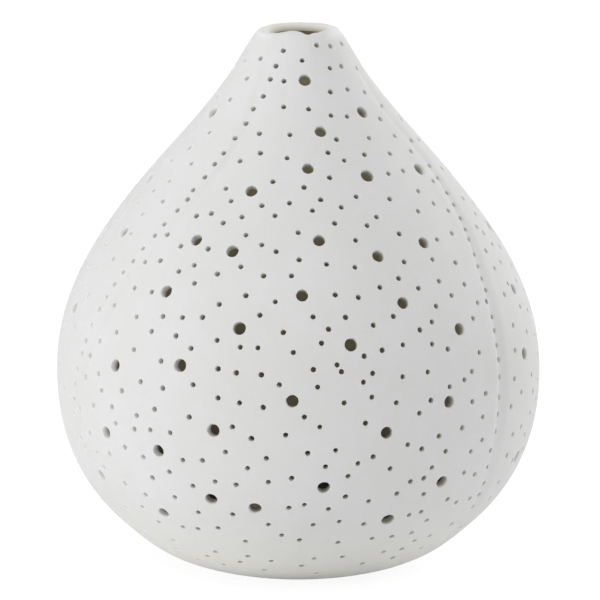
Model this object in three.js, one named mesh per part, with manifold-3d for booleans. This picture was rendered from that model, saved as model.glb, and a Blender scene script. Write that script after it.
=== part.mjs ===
// A tealight holder: a fig-shaped shade of unglazed white porcelain, pierced all over, that stands
// over a tealight on a small porcelain dish. Millimetres, +Z up. The origin is on the surface that
// it stands on, under the middle of the shade. Turns are counted from the front (-Y) towards +X.
import * as THREE from 'three';
import { mergeVertices } from 'three/addons/utils/BufferGeometryUtils.js';
import Module from 'manifold-3d';

const wasm = await Module();
wasm.setup();

// Driving dimensions: the tealight
const tealightRadius = 19;
const tealightHeight = 16;
const cupWall = 0.4;
const cupCornerRadius = 1.2;
const cupRimBead = 0.4;
const waxBelowRim = 1.6;
const waxMeniscus = 0.5;
const waxGap = 0.3;
const wickRadius = 0.8;
const wickGap = 0.3;
const wickAboveWax = 8;
const wickLean = 1.6;
const sustainerRadius = 6.2;
const sustainerSheet = 0.4;
const sustainerNeckHeight = 3;

// Driving dimensions: the dish under the tealight
const tealightClearance = 0.5;
const dishWall = 2.4;
const dishFloor = 1.6;
const dishRecess = 1;
const dishFootWidth = 3.5;
const dishUpstand = 3;
const dishEdgeRounding = 0.7;

// Driving dimensions: the shade
const dishClearance = 0.6;
const footWidth = 3;
const footChamfer = 0.4;
const wall = 2.4;
const hipRadius = 52.3;
const hipHeight = 12.5;
const girthRadius = 75;
const girthHeight = 61.5;
const neckRadius = 36.7;
const neckHeight = 134.8;
const lipRadius = 12.5;
const lipHeight = 167.75;
const lipRounding = 2.5;
const largeHoleDiameter = 3.8;
const furrowDepth = 1.1;
const furrowSteepWidth = 3;
const furrowShallowWidth = 16;
const cutOverrun = 3;

// Directions of the shade's outline, in degrees above the horizontal
const footAngle = 11.4;
const hipAngle = 42.3;
const girthAngle = 90;
const neckAngle = 131.4;
const lipAngle = 130;

// How far each curve's handles reach, as shares of the straight line between its ends
const footHandleShares = [0.47, 0.29];
const hipHandleShares = [0.12, 0.585];
const girthHandleShares = [0.305, 0.46];
const neckHandleShares = [0.735, 0.19];

// The least spacing of the large holes that carry the front's pattern on round the shade, and the
// turn in degrees on each side of the front within which the front's own holes are complete
const largeHoleSpacing = 13;
const frontAngle = 74;

// Sizes that follow from those
const dishInnerRadius = tealightRadius + tealightClearance;
const dishRadius = dishInnerRadius + dishWall;
const dishFloorHeight = dishRecess + dishFloor;
const footOpeningRadius = dishRadius + dishClearance;
const contactRadius = footOpeningRadius + footWidth;

// Counts of facets: round the shade, and along each curve of its outline
const shadeSegments = 52;
const outerFacets = [3, 5, 7, 4];
const innerFacets = [1, 3, 5, 3];
const fineFacets = [20, 20, 30, 20];
const lipFacets = 5;
const holeSides = 8;
const dishSegments = 40;
const cupSegments = 32;
const sustainerSegments = 20;
const wickSides = 8;

// Materials

function porcelain(name) {
  return new THREE.MeshStandardMaterial({ name, color: 0xdededa, roughness: 0.82, metalness: 0 });
}

const materials = {
  shade: porcelain('bisque_porcelain'),
  dish: porcelain('dish_porcelain'),
  cup: new THREE.MeshStandardMaterial({ name: 'cup_foil', color: 0xc9cbce, roughness: 0.35, metalness: 1 }),
  wax: new THREE.MeshStandardMaterial({ name: 'wax', color: 0xf1ede2, roughness: 0.45, metalness: 0 }),
  wick: new THREE.MeshStandardMaterial({ name: 'wick_cotton', color: 0xe9e4d6, roughness: 0.95, metalness: 0 }),
  tin: new THREE.MeshStandardMaterial({ name: 'tinned_sheet', color: 0xaeb0b2, roughness: 0.4, metalness: 1 }),
};

// Solids and meshes

function toSolid(geometry) {
  const bare = geometry.clone();
  bare.deleteAttribute('normal');
  bare.deleteAttribute('uv');
  const merged = mergeVertices(bare);
  return new wasm.Manifold(new wasm.Mesh({
    numProp: 3,
    vertProperties: merged.attributes.position.array,
    triVerts: new Uint32Array(merged.index.array),
  }));
}

function toGeometry(solid) {
  const mesh = solid.getMesh();
  const geometry = new THREE.BufferGeometry();
  geometry.setAttribute('position', new THREE.BufferAttribute(mesh.vertProperties, 3));
  geometry.setIndex(new THREE.BufferAttribute(mesh.triVerts, 1));
  geometry.computeVertexNormals();
  return geometry;
}

function named(name, geometry, material) {
  const mesh = new THREE.Mesh(geometry, material);
  mesh.name = name;
  return mesh;
}

// An outline of [radius, height] points turned once round the upright axis. It starts and ends on
// the axis, or else it is closed on itself.
function turned(outline, segments) {
  const points = outline.map(([radius, height]) => new THREE.Vector2(radius, height));
  const closing = outline[0][0] === 0 ? [] : [points[0]];
  const geometry = new THREE.LatheGeometry([...points, ...closing], segments);
  geometry.rotateX(Math.PI / 2);
  return toGeometry(toSolid(geometry));
}

// An arc from one direction to another about a centre, ends included
function rounding(radius, height, size, fromDegrees, toDegrees, steps) {
  const points = [];
  for (let step = 0; step <= steps; step += 1) {
    const angle = THREE.MathUtils.degToRad(fromDegrees + ((toDegrees - fromDegrees) * step) / steps);
    points.push([radius + size * Math.cos(angle), height + size * Math.sin(angle)]);
  }
  return points;
}

// The shade's outline: four curves from the foot over the hip, the girth and the neck to the lip

function heading(degrees) {
  const angle = THREE.MathUtils.degToRad(degrees);
  return new THREE.Vector2(Math.cos(angle), Math.sin(angle));
}

function stretch(from, fromAngle, to, toAngle, handleShares) {
  const span = from.distanceTo(to);
  return new THREE.CubicBezierCurve(
    from,
    from.clone().addScaledVector(heading(fromAngle), handleShares[0] * span),
    to.clone().addScaledVector(heading(toAngle), -handleShares[1] * span),
    to,
  );
}

const footEdge = new THREE.Vector2(contactRadius, 0);
const hip = new THREE.Vector2(hipRadius, hipHeight);
const girth = new THREE.Vector2(girthRadius, girthHeight);
const neck = new THREE.Vector2(neckRadius, neckHeight);
const lip = new THREE.Vector2(lipRadius, lipHeight);
const stretches = [
  stretch(footEdge, footAngle, hip, hipAngle, footHandleShares),
  stretch(hip, hipAngle, girth, girthAngle, hipHandleShares),
  stretch(girth, girthAngle, neck, neckAngle, girthHandleShares),
  stretch(neck, neckAngle, lip, lipAngle, neckHandleShares),
];

// The lip is a round bead about this centre, whose outer side carries on from the outline
const lipFacing = lipAngle - 90;
const lipCentre = lip.clone().addScaledVector(heading(lipFacing), -lipRounding);
const shadeTop = lipCentre.y + lipRounding;

// Points of the outline set back from the outer face, thickening from the wall to the lip
function facePoints(counts, setBack) {
  const points = [];
  stretches.forEach((curve, index) => {
    const last = index === stretches.length - 1;
    for (let step = 0; step < counts[index]; step += 1) {
      points.push(setBack(curve, step / counts[index], last));
    }
  });
  points.push(setBack(stretches.at(-1), 1, true));
  return points;
}

function outerPoint(curve, along) {
  const point = curve.getPoint(along);
  return [point.x, point.y];
}

function innerPoint(curve, along, nearLip) {
  const point = curve.getPoint(along);
  const way = curve.getTangent(along);
  const thickening = nearLip ? (2 * lipRounding - wall) * along ** 2 : 0;
  const thickness = wall + thickening;
  return [point.x - way.y * thickness, point.y + way.x * thickness];
}

// The outer radius at a height, read between fine points of the outline
const finePoints = facePoints(fineFacets, outerPoint);

function radiusAt(height) {
  const upper = finePoints.findIndex((point) => point[1] >= height);
  if (upper <= 0) {
    return upper === 0 ? finePoints[0][0] : finePoints.at(-1)[0];
  }
  const [lowRadius, low] = finePoints[upper - 1];
  const [highRadius, high] = finePoints[upper];
  return THREE.MathUtils.mapLinear(height, low, high, lowRadius, highRadius);
}

// The fig's furrows. Each valley is a list of [share of the lip's height, share of a full turn]; its
// left wall is steep and its right wall shallow. The pair is repeated half a turn round.
const rightValleyShares = [
  [0.1, 0.162], [0.25, 0.157], [0.37, 0.158], [0.48, 0.164], [0.59, 0.174],
  [0.68, 0.192], [0.77, 0.206], [0.88, 0.205], [1, 0.2],
];
const leftValleyShares = [
  [0.1, -0.198], [0.3, -0.19], [0.45, -0.186], [0.6, -0.16],
  [0.74, -0.112], [0.83, -0.084], [1, -0.084],
];
// How deep a valley is, as shares of the full depth at the same heights
const rightDepthShares = [[0.06, 0], [0.2, 0.9], [0.4, 1], [0.7, 1], [0.86, 0.5], [0.97, 0]];
const leftDepthShares = [[0.12, 0], [0.3, 0.45], [0.45, 0.4], [0.6, 0.15], [0.78, 0.45], [0.97, 0]];

function readShares(table, at) {
  const upper = table.findIndex((row) => row[0] >= at);
  if (upper <= 0) {
    return upper === 0 ? table[0][1] : table.at(-1)[1];
  }
  const [low, lowValue] = table[upper - 1];
  const [high, highValue] = table[upper];
  return THREE.MathUtils.mapLinear(at, low, high, lowValue, highValue);
}

const furrows = [0, 0.5].flatMap((around) => [
  { around, valley: rightValleyShares, depth: rightDepthShares, columnShare: 9 / shadeSegments },
  { around, valley: leftValleyShares, depth: leftDepthShares, columnShare: -8 / shadeSegments },
]);

// A turn as a share of a full one, brought into the half turn on each side of zero
function wrapped(turn) {
  return turn - Math.round(turn);
}

// One column of facets is led along each valley, and its neighbours follow less and less
const followShare = 0.13;

function led(turn, rise) {
  let moved = turn;
  furrows.forEach((furrow) => {
    const home = furrow.around + furrow.columnShare;
    const away = Math.abs(wrapped(turn - home));
    const pull = 1 - THREE.MathUtils.smoothstep(away, 0, followShare);
    moved += (readShares(furrow.valley, rise) - furrow.columnShare) * pull;
  });
  return moved;
}

function furrowAt(turn, rise, radius) {
  let depth = 0;
  furrows.forEach((furrow) => {
    const centre = furrow.around + readShares(furrow.valley, rise);
    const across = wrapped(turn - centre) * 2 * Math.PI * radius;
    const width = across < 0 ? furrowSteepWidth : furrowShallowWidth;
    const fall = 1 - THREE.MathUtils.smoothstep(Math.abs(across), 0, width);
    depth += furrowDepth * readShares(furrow.depth, rise) * fall;
  });
  return depth;
}

// Holes are placed where they lie in a front view, as [across, down] pixels of that view
const viewGirthPixels = 483.4;
const viewHeightPixels = 543.4;
const viewCentrePixels = [298.3, 295.6];
const viewDistance = 1862;
const viewAngle = 11;
const largeHolePixels = [
  [305, 80], [362.5, 112], [212.3, 112.3], [320.8, 131.3], [308.1, 168.2], [367.4, 175.6],
  [419.4, 169], [251.3, 190.7], [150, 177.5], [448.5, 170.5], [489.6, 226.7], [196.4, 239.7],
  [232.3, 251], [319.3, 240.2], [378.3, 256], [423.9, 242.5], [124, 231.5], [103.3, 232.5],
  [166.3, 291.3], [302.2, 295.3], [403.3, 302.8], [513.9, 289], [74.6, 307], [239.3, 328.3],
  [459.9, 329], [351.3, 344.8], [524.7, 353.6], [115, 365.5], [180, 365.4], [292.4, 401.4],
  [449.5, 402], [106, 432.6], [213.3, 430.7], [387, 433], [158.2, 451], [101.6, 475.8],
  [517, 456.5], [442, 482], [324, 488], [211.3, 499.3], [255.2, 508.5], [163.5, 513], [388, 520],
];
// The place on the face is found by rounds, each of which goes a share of the way to the next guess
const settleRounds = 40;
const settleShare = 0.6;
const widestSineShare = 0.99;

// The turn and height on the outer face that lie under a pixel of the front view
function underPixel([across, down]) {
  const middle = shadeTop / 2;
  const tilt = THREE.MathUtils.degToRad(viewAngle);
  let turn = 0;
  let height = middle;
  for (let round = 0; round < settleRounds; round += 1) {
    const radius = radiusAt(height);
    const toward = -radius * Math.cos(turn);
    const depth = toward * Math.cos(tilt) - (height - middle) * Math.sin(tilt);
    const enlarged = viewDistance / (viewDistance + depth);
    const u = ((across - viewCentrePixels[0]) * 2 * girthRadius) / viewGirthPixels / enlarged;
    const v = ((viewCentrePixels[1] - down) * shadeTop) / viewHeightPixels / enlarged;
    turn = Math.asin(THREE.MathUtils.clamp(u / radius, -widestSineShare, widestSineShare));
    const next = middle + (v - toward * Math.sin(tilt)) / Math.cos(tilt);
    height = THREE.MathUtils.lerp(height, THREE.MathUtils.clamp(next, 0, lipHeight), settleShare);
  }
  return { turn, height };
}

// A prism through the wall at a turn and a height, square to the outer face
function holeCutter({ turn, height }) {
  const step = wall;
  const rise = (radiusAt(height + step) - radiusAt(height - step)) / (2 * step);
  const radius = radiusAt(height);
  const outward = new THREE.Vector3(Math.sin(turn), -Math.cos(turn), -rise).normalize();
  const place = new THREE.Vector3(Math.sin(turn) * radius, -Math.cos(turn) * radius, height);
  const length = wall + 2 * cutOverrun;
  const prism = new THREE.CylinderGeometry(largeHoleDiameter / 2, largeHoleDiameter / 2, length, holeSides);
  prism.applyQuaternion(new THREE.Quaternion().setFromUnitVectors(new THREE.Vector3(0, 1, 0), outward));
  place.addScaledVector(outward, -wall / 2);
  prism.translate(place.x, place.y, place.z);
  return toSolid(prism);
}

function spacing(hole, other) {
  const across = wrapped((hole.turn - other.turn) / (2 * Math.PI)) * 2 * Math.PI * radiusAt(hole.height);
  return Math.hypot(across, hole.height - other.height);
}

// The front holes, then the same pattern half a turn round, then a quarter turn to each side. A hole
// of a turned pattern is left out where it would show from the front or crowd one already set.
function largeHoles() {
  const front = largeHolePixels.map(underPixel);
  const holes = [...front];
  [0.5, 0.25, -0.25].forEach((around) => {
    const reach = around === 0.5 ? 1 : Math.cos(THREE.MathUtils.degToRad(frontAngle));
    front.forEach(({ turn, height }) => {
      const hole = { turn: turn + around * 2 * Math.PI, height };
      const aside = Math.abs(Math.cos(hole.turn)) < reach;
      if (aside && holes.every((other) => spacing(hole, other) > largeHoleSpacing)) {
        holes.push(hole);
      }
    });
  });
  return holes;
}

function shadeGeometry() {
  const outer = facePoints(outerFacets, outerPoint);
  const inner = facePoints(innerFacets, innerPoint).reverse();
  const bead = rounding(lipCentre.x, lipCentre.y, lipRounding, lipFacing, lipFacing + 180, lipFacets);
  const footHole = [
    [footOpeningRadius, wall - footChamfer],
    [footOpeningRadius, footChamfer],
    [footOpeningRadius + footChamfer, 0],
  ];
  const shaped = turned([...outer, ...bead.slice(1, -1), ...inner, ...footHole], shadeSegments);
  const at = shaped.attributes.position;
  for (let index = 0; index < at.count; index += 1) {
    const radius = Math.hypot(at.getX(index), at.getY(index));
    const rise = at.getZ(index) / lipHeight;
    const start = Math.atan2(at.getX(index), -at.getY(index)) / (2 * Math.PI);
    const turn = led(start, rise);
    const pushed = radius - furrowAt(turn, rise, radius);
    at.setX(index, Math.sin(turn * 2 * Math.PI) * pushed);
    at.setY(index, -Math.cos(turn * 2 * Math.PI) * pushed);
  }
  let solid = toSolid(shaped);
  largeHoles().forEach((hole) => {
    solid = solid.subtract(holeCutter(hole));
  });
  return toGeometry(solid);
}

// The dish: a foot ring, a floor and an upstand that keeps the tealight in the middle
function dishGeometry() {
  const top = dishFloorHeight + dishUpstand;
  const footInner = dishRadius - dishFootWidth;
  const round = dishEdgeRounding;
  return turned([
    [0, dishRecess],
    [footInner - footChamfer, dishRecess],
    [footInner, dishRecess - footChamfer],
    [footInner, 0],
    [dishRadius - footChamfer, 0],
    [dishRadius, footChamfer],
    ...rounding(dishRadius - round, top - round, round, 0, 90, 3),
    ...rounding(dishInnerRadius + round, top - round, round, 90, 180, 3),
    [dishInnerRadius, dishFloorHeight],
    [0, dishFloorHeight],
  ], dishSegments);
}

// The tealight's cup: thin aluminium with a round bottom corner and a beaded rim
const cupRadius = tealightRadius - cupRimBead;
const cupInnerRadius = cupRadius - cupWall;
const cupFloorHeight = dishFloorHeight + cupWall;
const cupTop = dishFloorHeight + tealightHeight;
const cupInnerCorner = cupCornerRadius - cupWall;

function cupGeometry() {
  const outerCorner = cupRadius - cupCornerRadius;
  const innerCorner = cupInnerRadius - cupInnerCorner;
  return turned([
    [0, dishFloorHeight],
    ...rounding(outerCorner, dishFloorHeight + cupCornerRadius, cupCornerRadius, -90, 0, 3),
    [cupRadius, cupTop - 3 * cupRimBead],
    [tealightRadius, cupTop - 2 * cupRimBead],
    [tealightRadius, cupTop - cupRimBead],
    [cupRadius, cupTop],
    [cupInnerRadius, cupTop - cupRimBead],
    ...rounding(innerCorner, cupFloorHeight + cupInnerCorner, cupInnerCorner, 0, -90, 3),
    [0, cupFloorHeight],
  ], cupSegments);
}

// The sustainer: a tin disc on the cup's floor with a neck that grips the wick
const neckBore = wickRadius + wickGap;
const neckOuterRadius = neckBore + sustainerSheet;
const sustainerTop = cupFloorHeight + sustainerSheet;
const neckTop = sustainerTop + sustainerNeckHeight;

function sustainerGeometry() {
  return turned([
    [neckBore, cupFloorHeight],
    [sustainerRadius, cupFloorHeight],
    [sustainerRadius, sustainerTop],
    [neckOuterRadius + sustainerSheet, sustainerTop],
    [neckOuterRadius, sustainerTop + sustainerSheet],
    [neckOuterRadius, neckTop],
    [neckBore, neckTop],
  ], sustainerSegments);
}

// The wax: fills the cup round the sustainer and the wick, a little lower in the middle
const waxTop = cupTop - waxBelowRim;
const waxRadius = cupInnerRadius - waxGap;

function waxGeometry() {
  const corner = cupInnerCorner;
  const bore = wickRadius + waxGap;
  const overNeck = neckOuterRadius + sustainerSheet + waxGap;
  const overDisc = sustainerTop + waxGap;
  return turned([
    [bore, neckTop + waxGap],
    [overNeck, neckTop + waxGap],
    [overNeck, overDisc + sustainerSheet],
    [sustainerRadius + waxGap, overDisc + sustainerSheet],
    [sustainerRadius + waxGap, cupFloorHeight],
    [waxRadius - corner, cupFloorHeight],
    [waxRadius, cupFloorHeight + corner],
    [waxRadius, waxTop],
    [waxRadius - waxMeniscus, waxTop - waxMeniscus],
    [bore, waxTop - waxMeniscus],
  ], cupSegments);
}

// The wick: straight inside the wax and bent over above it
function wickGeometry() {
  const bend = new THREE.Vector3(0, 0, waxTop);
  const tip = new THREE.Vector3(wickLean, 0, waxTop + wickAboveWax);
  const route = new THREE.CurvePath();
  route.add(new THREE.LineCurve3(new THREE.Vector3(0, 0, cupFloorHeight), bend));
  route.add(new THREE.QuadraticBezierCurve3(bend, new THREE.Vector3(0, 0, waxTop + wickAboveWax / 2), tip));
  const section = new THREE.Shape();
  section.absarc(0, 0, wickRadius, 0, 2 * Math.PI);
  const steps = Math.round((tip.z - cupFloorHeight) / (2 * wickRadius));
  return new THREE.ExtrudeGeometry(section, { steps, extrudePath: route, curveSegments: wickSides / 2 });
}

const group = new THREE.Group();
group.add(named('shade', shadeGeometry(), materials.shade));
group.add(named('base_dish', dishGeometry(), materials.dish));
group.add(named('tealight_cup', cupGeometry(), materials.cup));
group.add(named('tealight_wax', waxGeometry(), materials.wax));
group.add(named('wick_sustainer', sustainerGeometry(), materials.tin));
group.add(named('wick', wickGeometry(), materials.wick));

export default group;
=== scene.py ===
# %% [markdown]
# # A pierced porcelain tealight shade
# A fig-shaped shade of unglazed white porcelain stands over a tealight on a small dish. Its light
# comes out through several hundred pierced holes, and its warm air leaves at the narrow mouth.
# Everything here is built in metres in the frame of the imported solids: +Z is up, -Y is the front,
# and turns are counted from the front towards +X.

import bisect
import math
import random
from collections import defaultdict, namedtuple

import bpy
from mathutils import Matrix, Vector, noise
from mathutils.bvhtree import BVHTree
from mathutils.interpolate import poly_3d_calc


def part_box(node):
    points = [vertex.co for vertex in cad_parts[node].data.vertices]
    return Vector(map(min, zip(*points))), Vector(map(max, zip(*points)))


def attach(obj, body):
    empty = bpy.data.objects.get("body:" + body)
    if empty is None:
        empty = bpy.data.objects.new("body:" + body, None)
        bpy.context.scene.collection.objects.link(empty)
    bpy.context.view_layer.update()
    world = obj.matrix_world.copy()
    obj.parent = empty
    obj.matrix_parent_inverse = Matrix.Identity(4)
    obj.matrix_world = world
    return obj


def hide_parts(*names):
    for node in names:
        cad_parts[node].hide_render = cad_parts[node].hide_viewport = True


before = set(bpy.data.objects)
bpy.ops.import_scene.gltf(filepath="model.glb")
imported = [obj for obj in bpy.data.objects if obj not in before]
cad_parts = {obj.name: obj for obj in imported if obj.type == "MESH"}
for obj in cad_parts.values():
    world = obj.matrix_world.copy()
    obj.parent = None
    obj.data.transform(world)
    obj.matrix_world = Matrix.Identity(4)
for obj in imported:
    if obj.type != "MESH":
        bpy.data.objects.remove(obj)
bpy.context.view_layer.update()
mm = 0.001
full_turn = 2 * math.pi
shade_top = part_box("shade")[1].z

# %% [markdown]
# ## The camera
# The photograph looks slightly down into the mouth, so the camera stands 11 degrees above the
# horizon, far away behind a long lens. It comes first because the holes are placed through it: a
# hole lies where the ray through its pixel meets the shade's face.

# %% The camera
image_side = 600
camera_distance = 1862 * mm
camera_height_angle = math.radians(11)
lens_length = 360
sensor_side = 36
shade_middle_pixel = (298.3, 295.6)


def in_scene(name, data):
    """A new object of this data, linked to the scene."""
    made = bpy.data.objects.new(name, data)
    bpy.context.scene.collection.objects.link(made)
    return made


def face_along(made, way):
    """Turn a camera or a lamp so that it looks this way."""
    made.rotation_mode = "QUATERNION"
    made.rotation_quaternion = way.to_track_quat("-Z", "Y")


camera_data = bpy.data.cameras.new("camera")
camera_data.lens = lens_length
camera_data.sensor_width = sensor_side
camera = in_scene("camera", camera_data)
bpy.context.scene.camera = camera

toward_camera = Vector((0, -math.cos(camera_height_angle), math.sin(camera_height_angle)))
face_along(camera, -toward_camera)
picture_right = camera.rotation_quaternion @ Vector((1, 0, 0))
picture_up = camera.rotation_quaternion @ Vector((0, 1, 0))
pixels_per_length = lens_length / sensor_side * image_side


def off_centre(pixel):
    """How far right and up of the picture's centre a pixel lies, in camera distances."""
    right = (pixel[0] - image_side / 2) / pixels_per_length
    up = (image_side / 2 - pixel[1]) / pixels_per_length
    return picture_right * right + picture_up * up


aim = Vector((0, 0, shade_top / 2)) - off_centre(shade_middle_pixel) * camera_distance
camera.location = aim + toward_camera * camera_distance
print("camera at", [round(part, 4) for part in camera.location])


# %% [markdown]
# ## From the picture to the piece
# A hole or a furrow that was read off the photograph has to be put back on the round body. A ray
# goes from the camera through the pixel, and where it first meets the body is the place.

# %% A ray through a pixel
print("one pixel spans", round(camera_distance / pixels_per_length / mm, 3), "mm at the shade")


def under_pixel(tree, pixel):
    """The place under a pixel of the photograph, or None off the shade."""
    ray = (off_centre(pixel) - toward_camera).normalized()
    return tree.ray_cast(camera.location, ray)[0]


# %% [markdown]
# ## The shade's outline
# The shade is a slip casting, so its outline is one flowing line with no corner between the foot
# and the lip. Four Bezier curves through named points give that line and its normal directly. A
# chain of straight pieces would need many more numbers and would show as bands in soft light.

# %% The outline's curves
contact_radius = 25.5 * mm
hip = Vector((52.3, 12.5)) * mm
girth = Vector((75, 61.5)) * mm
neck = Vector((36.7, 134.8)) * mm
lip = Vector((12.5, 167.75)) * mm
foot_edge = Vector((contact_radius, 0))
# Each point has the outline's direction there, in degrees above the horizontal
knots = [(foot_edge, 11.4), (hip, 42.3), (girth, 90), (neck, 131.4), (lip, 130)]
# How far each curve's handles reach, as shares of the straight line between its ends
handle_shares = [(0.47, 0.29), (0.12, 0.585), (0.305, 0.46), (0.735, 0.19)]
lip_facing = knots[-1][1] - 90
samples_per_stretch = 160


def heading(degrees):
    """The direction that rises at this angle, in the plane of radius and height."""
    return Vector((math.cos(math.radians(degrees)), math.sin(math.radians(degrees))))


def curve_points(start, start_angle, end, end_angle, handles):
    """Points and outward normals along one stretch, its last point left to the next one."""
    span = (end - start).length
    first = start + heading(start_angle) * span * handles[0]
    second = end - heading(end_angle) * span * handles[1]
    for step in range(samples_per_stretch):
        t = step / samples_per_stretch
        s = 1 - t
        point = start * s**3 + first * 3 * s * s * t + second * 3 * s * t * t + end * t**3
        way = (first - start) * s * s + (second - first) * 2 * s * t + (end - second) * t * t
        yield point, Vector((way.y, -way.x)).normalized()


outline = []
for start, end, handles in zip(knots, knots[1:], handle_shares):
    outline.extend(curve_points(*start, *end, handles))
outline.append((lip, heading(lip_facing)))
lengths = [0.0]
for (here, _), (there, _) in zip(outline, outline[1:]):
    lengths.append(lengths[-1] + (there - here).length)
outline_length = lengths[-1]
print("the outline is", round(outline_length / mm, 1), "mm long")


def on_outline(length):
    """The point and outward normal at a length along the outline from the foot."""
    upper = min(max(bisect.bisect_left(lengths, length), 1), len(lengths) - 1)
    share = (length - lengths[upper - 1]) / (lengths[upper] - lengths[upper - 1])
    low, high = outline[upper - 1], outline[upper]
    return low[0].lerp(high[0], share), low[1].lerp(high[1], share).normalized()


# %% [markdown]
# ## The fig's furrows
# Like a real fig, the casting has long furrows that run from the neck towards the foot. Seen from
# the front, each has a crest on its left, a steep fall just right of it, a narrow groove, and a
# slow rise back to the round. Only two can be seen, so the pair is repeated half a turn round.
# They could be sculpted by hand, or be a bump in the finish. A formula is easier to fit to the
# photograph, and points that it moves catch the light as real furrows do.

# %% Where the furrows run
right_furrow_pixels = [
    (382.5, 104), (392.5, 116), (402.5, 129), (413.5, 142.5), (426, 157.5), (438.5, 176),
    (448, 192.5), (458, 207.5), (465.5, 224), (472, 241), (477.5, 257.5), (480.5, 265), (486, 281),
    (491, 300), (495, 315), (497, 327.5), (500, 346), (502.2, 365), (503.2, 377.5), (502.7, 396),
    (501.2, 415), (499.2, 427), (496.2, 449), (492.2, 467), (485.2, 483), (479.7, 500),
    (472.7, 508.6), (465.7, 519),
]
left_furrow_pixels = [
    (270, 55), (265, 77), (254, 108), (243, 140), (225, 165), (205, 190), (176, 225),
    (146, 265), (118, 305), (95, 345), (80, 385), (78, 425), (84, 455),
]


def smooth(share):
    """A smooth rise from nought to one, held before and after."""
    share = min(max(share, 0), 1)
    return share * share * (3 - 2 * share)


def read(table, at):
    """A value read from rows of (place, value), straight between rows and held beyond the ends."""
    upper = bisect.bisect_left([row[0] for row in table], at)
    if upper in (0, len(table)):
        return table[min(upper, len(table) - 1)][1]
    (low, low_value), (high, high_value) = table[upper - 1], table[upper]
    return low_value + (high_value - low_value) * (at - low) / (high - low)


def turn_of(place):
    """How far round from the front a place lies."""
    return math.atan2(place.x, -place.y)


def wrapped(turn):
    """A turn brought into the half turn on each side of the front."""
    return turn - full_turn * round(turn / full_turn)


# %% A plain turned body to place the furrows on
plain_rows = 120
plain_columns = 180
smoothing_rounds = 2


def around_axis(turn, radius, height):
    """The point at a turn, a distance from the upright axis and a height."""
    return Vector((math.sin(turn) * radius, -math.cos(turn) * radius, height))


def band(low, high, count):
    """The quads between two closed rows of points, given by the number of each row's first."""
    for index in range(count):
        following = (index + 1) % count
        yield low + index, low + following, high + following, high + index


plain_points = []
plain_faces = []
for row in range(plain_rows + 1):
    point, _ = on_outline(outline_length * row / plain_rows)
    for column in range(plain_columns):
        plain_points.append(around_axis(full_turn * column / plain_columns, *point))
    if row:
        last = row * plain_columns
        plain_faces.extend(band(last - plain_columns, last, plain_columns))
plain_tree = BVHTree.FromPolygons(plain_points, plain_faces)


def furrow_line(pixels):
    """Rows of (height, turn) along a furrow, smoothed over their neighbours."""
    hits = [under_pixel(plain_tree, pixel) for pixel in pixels]
    rows = sorted((hit.z, turn_of(hit)) for hit in hits if hit)
    for _ in range(smoothing_rounds):
        inner = [
            (rows[i][0], (rows[i - 1][1] + 2 * rows[i][1] + rows[i + 1][1]) / 4)
            for i in range(1, len(rows) - 1)
        ]
        rows = [rows[0], *inner, rows[-1]]
    return rows


right_line = furrow_line(right_furrow_pixels)
left_line = furrow_line(left_furrow_pixels)
print("right furrow turns", [round(math.degrees(turn)) for _, turn in right_line[::4]])
print("left furrow turns", [round(math.degrees(turn)) for _, turn in left_line[::3]])

# %% How deep the furrows are
furrow_depth = 1.6 * mm
crest_height = 0.26 * mm
steep_width = 3 * mm
crest_distance = 1.5 * steep_width
groove_width = 4.6 * mm
shallow_width = 16 * mm
right_depth_shares = [(0.06, 0), (0.2, 0.9), (0.4, 1), (0.7, 1), (0.86, 0.8), (0.97, 0)]
left_depth_shares = [(0.12, 0), (0.3, 0.45), (0.45, 0.4), (0.6, 0.15), (0.78, 0.34), (0.97, 0)]
right_groove_share, left_groove_share = 0.7, 0.25
furrows = [
    (around, *furrow)
    for around in (0, math.pi)
    for furrow in (
        (right_line, right_depth_shares, right_groove_share),
        (left_line, left_depth_shares, left_groove_share),
    )
]


def furrow_at(turn, height, radius):
    """How far the face lies inside the plain outline; less than nothing on a crest."""
    depth = 0
    for around, line, shares, groove_share in furrows:
        across = wrapped(turn - around - read(line, height)) * radius
        strength = read(shares, height / lip.y)
        if across < 0:
            share = 1 - smooth(-across / steep_width)
        else:
            groove = 1 - smooth(across / groove_width)
            slow_rise = 1 - smooth(across / shallow_width)
            share = groove_share * groove + (1 - groove_share) * slow_rise
        depth += furrow_depth * strength * share
        on_crest = math.exp(-(((across + crest_distance) / steep_width) ** 2))
        depth -= crest_height * strength * on_crest
    return depth


def print_range(what, sizes):
    """Print the least and the most of some sizes, in millimetres."""
    print(what, round(min(sizes) / mm, 3), "to", round(max(sizes) / mm, 3), "mm")


turns_round = [wrapped(math.radians(degree)) for degree in range(360)]
print_range("furrows at the girth:", [furrow_at(turn, girth.y, girth.x) for turn in turns_round])

# %% [markdown]
# ## The shade's mesh
# One closed net of quads goes up the outside, over the lip, down the inside and round the foot.
# Its columns follow the furrows and stand closer together there, so that each crest and valley
# has real faces of its own. The wall is an even offset, as slip leaves it in a mould.

# %% The wall's rows
wall = 2.4 * mm
undercut_wall = 3.4 * mm
foot_opening_radius = 22.5 * mm
foot_rounding = 0.5 * mm
lip_rounding = 2.5 * mm
collar_height = 0.45 * mm
collar_rounding = 0.25 * mm
outer_rows, bead_rows, inner_rows, rounding_rows, bevel_rows = 100, 11, 36, 3, 2
outside, pierced, inside = 0, 1, 2
# Directions in the wall's section, in degrees
facing_up, facing_in, facing_down = 90, 180, 270
collar_end, bevel_end = 262, 300


def arc(centre, radius, start, end, steps, side=None):
    """Rows of a rounding, between two directions; a bead is outside where it faces out."""
    for step in range(steps + 1):
        facing = heading(start + (end - start) * step / steps)
        bead_side = outside if facing.x > 0 else inside
        yield centre + facing * radius, facing, bead_side if side is None else side


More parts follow.
